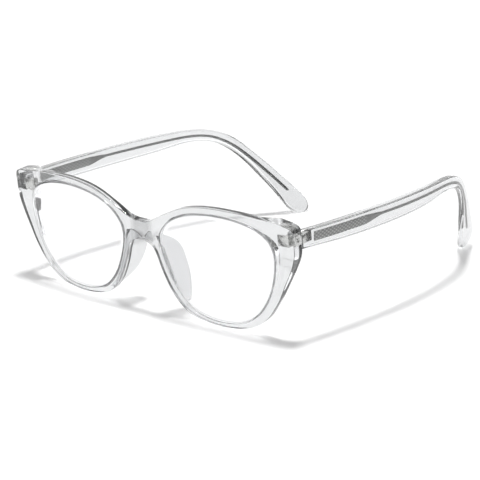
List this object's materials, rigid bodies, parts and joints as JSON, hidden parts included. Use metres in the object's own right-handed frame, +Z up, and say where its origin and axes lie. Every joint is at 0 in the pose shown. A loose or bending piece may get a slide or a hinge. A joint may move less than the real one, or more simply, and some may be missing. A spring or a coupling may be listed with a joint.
{
  "type": "blue light glasses",
  "caption": "Clear-framed cat-eye blue light glasses with fixed nose pads, folding temples on screwed metal hinges, and a metal core in each temple.",
  "frame": {"origin": "middle of the bounding box's underside: on the table, between the rims and the temple tips", "axes": "+X across the front, to the right as seen from in front, which is the wearer's left; +Y back, from the front to the temple tips; +Z up. The rims' lowest edge and the temple tips rest at z = 0"},
  "size_m": [0.1426, 0.1568, 0.0459],
  "materials": {
    "clear_frame": "clear polished moulded plastic",
    "clear_pad": "clear moulded plastic, slightly satin",
    "lens": "clear coated lens, very low reflection",
    "hinge_metal": "nickel silver, tumbled",
    "screw_metal": "stainless steel, turned",
    "core_metal": "drawn and rolled nickel silver with fine lengthwise lines"
  },
  "bodies": {
    "front": {"front_frame": "clear_frame", "lens_left": "lens", "lens_right": "lens", "nose_pad_left": "clear_pad", "nose_pad_right": "clear_pad", "front_hinge_left": "hinge_metal", "front_hinge_right": "hinge_metal", "hinge_screw_left": "screw_metal", "hinge_screw_right": "screw_metal"},
    "arm_left": {"temple_left": "clear_frame", "temple_hinge_left": "hinge_metal", "core_left": "core_metal"},
    "arm_right": {"temple_right": "clear_frame", "temple_hinge_right": "hinge_metal", "core_right": "core_metal"}
  },
  "joints": [
    {"name": "fold_left", "type": "hinge", "parent": "front", "child": "arm_left", "pos_m": [-0.0642, -0.06678, 0.03805], "axis": [0, 0.1305, -0.9914], "range_deg": [0, 86]},
    {"name": "fold_right", "type": "hinge", "parent": "front", "child": "arm_right", "pos_m": [0.0642, -0.06678, 0.03805], "axis": [0, -0.1305, 0.9914], "range_deg": [0, 76]}
  ]
}
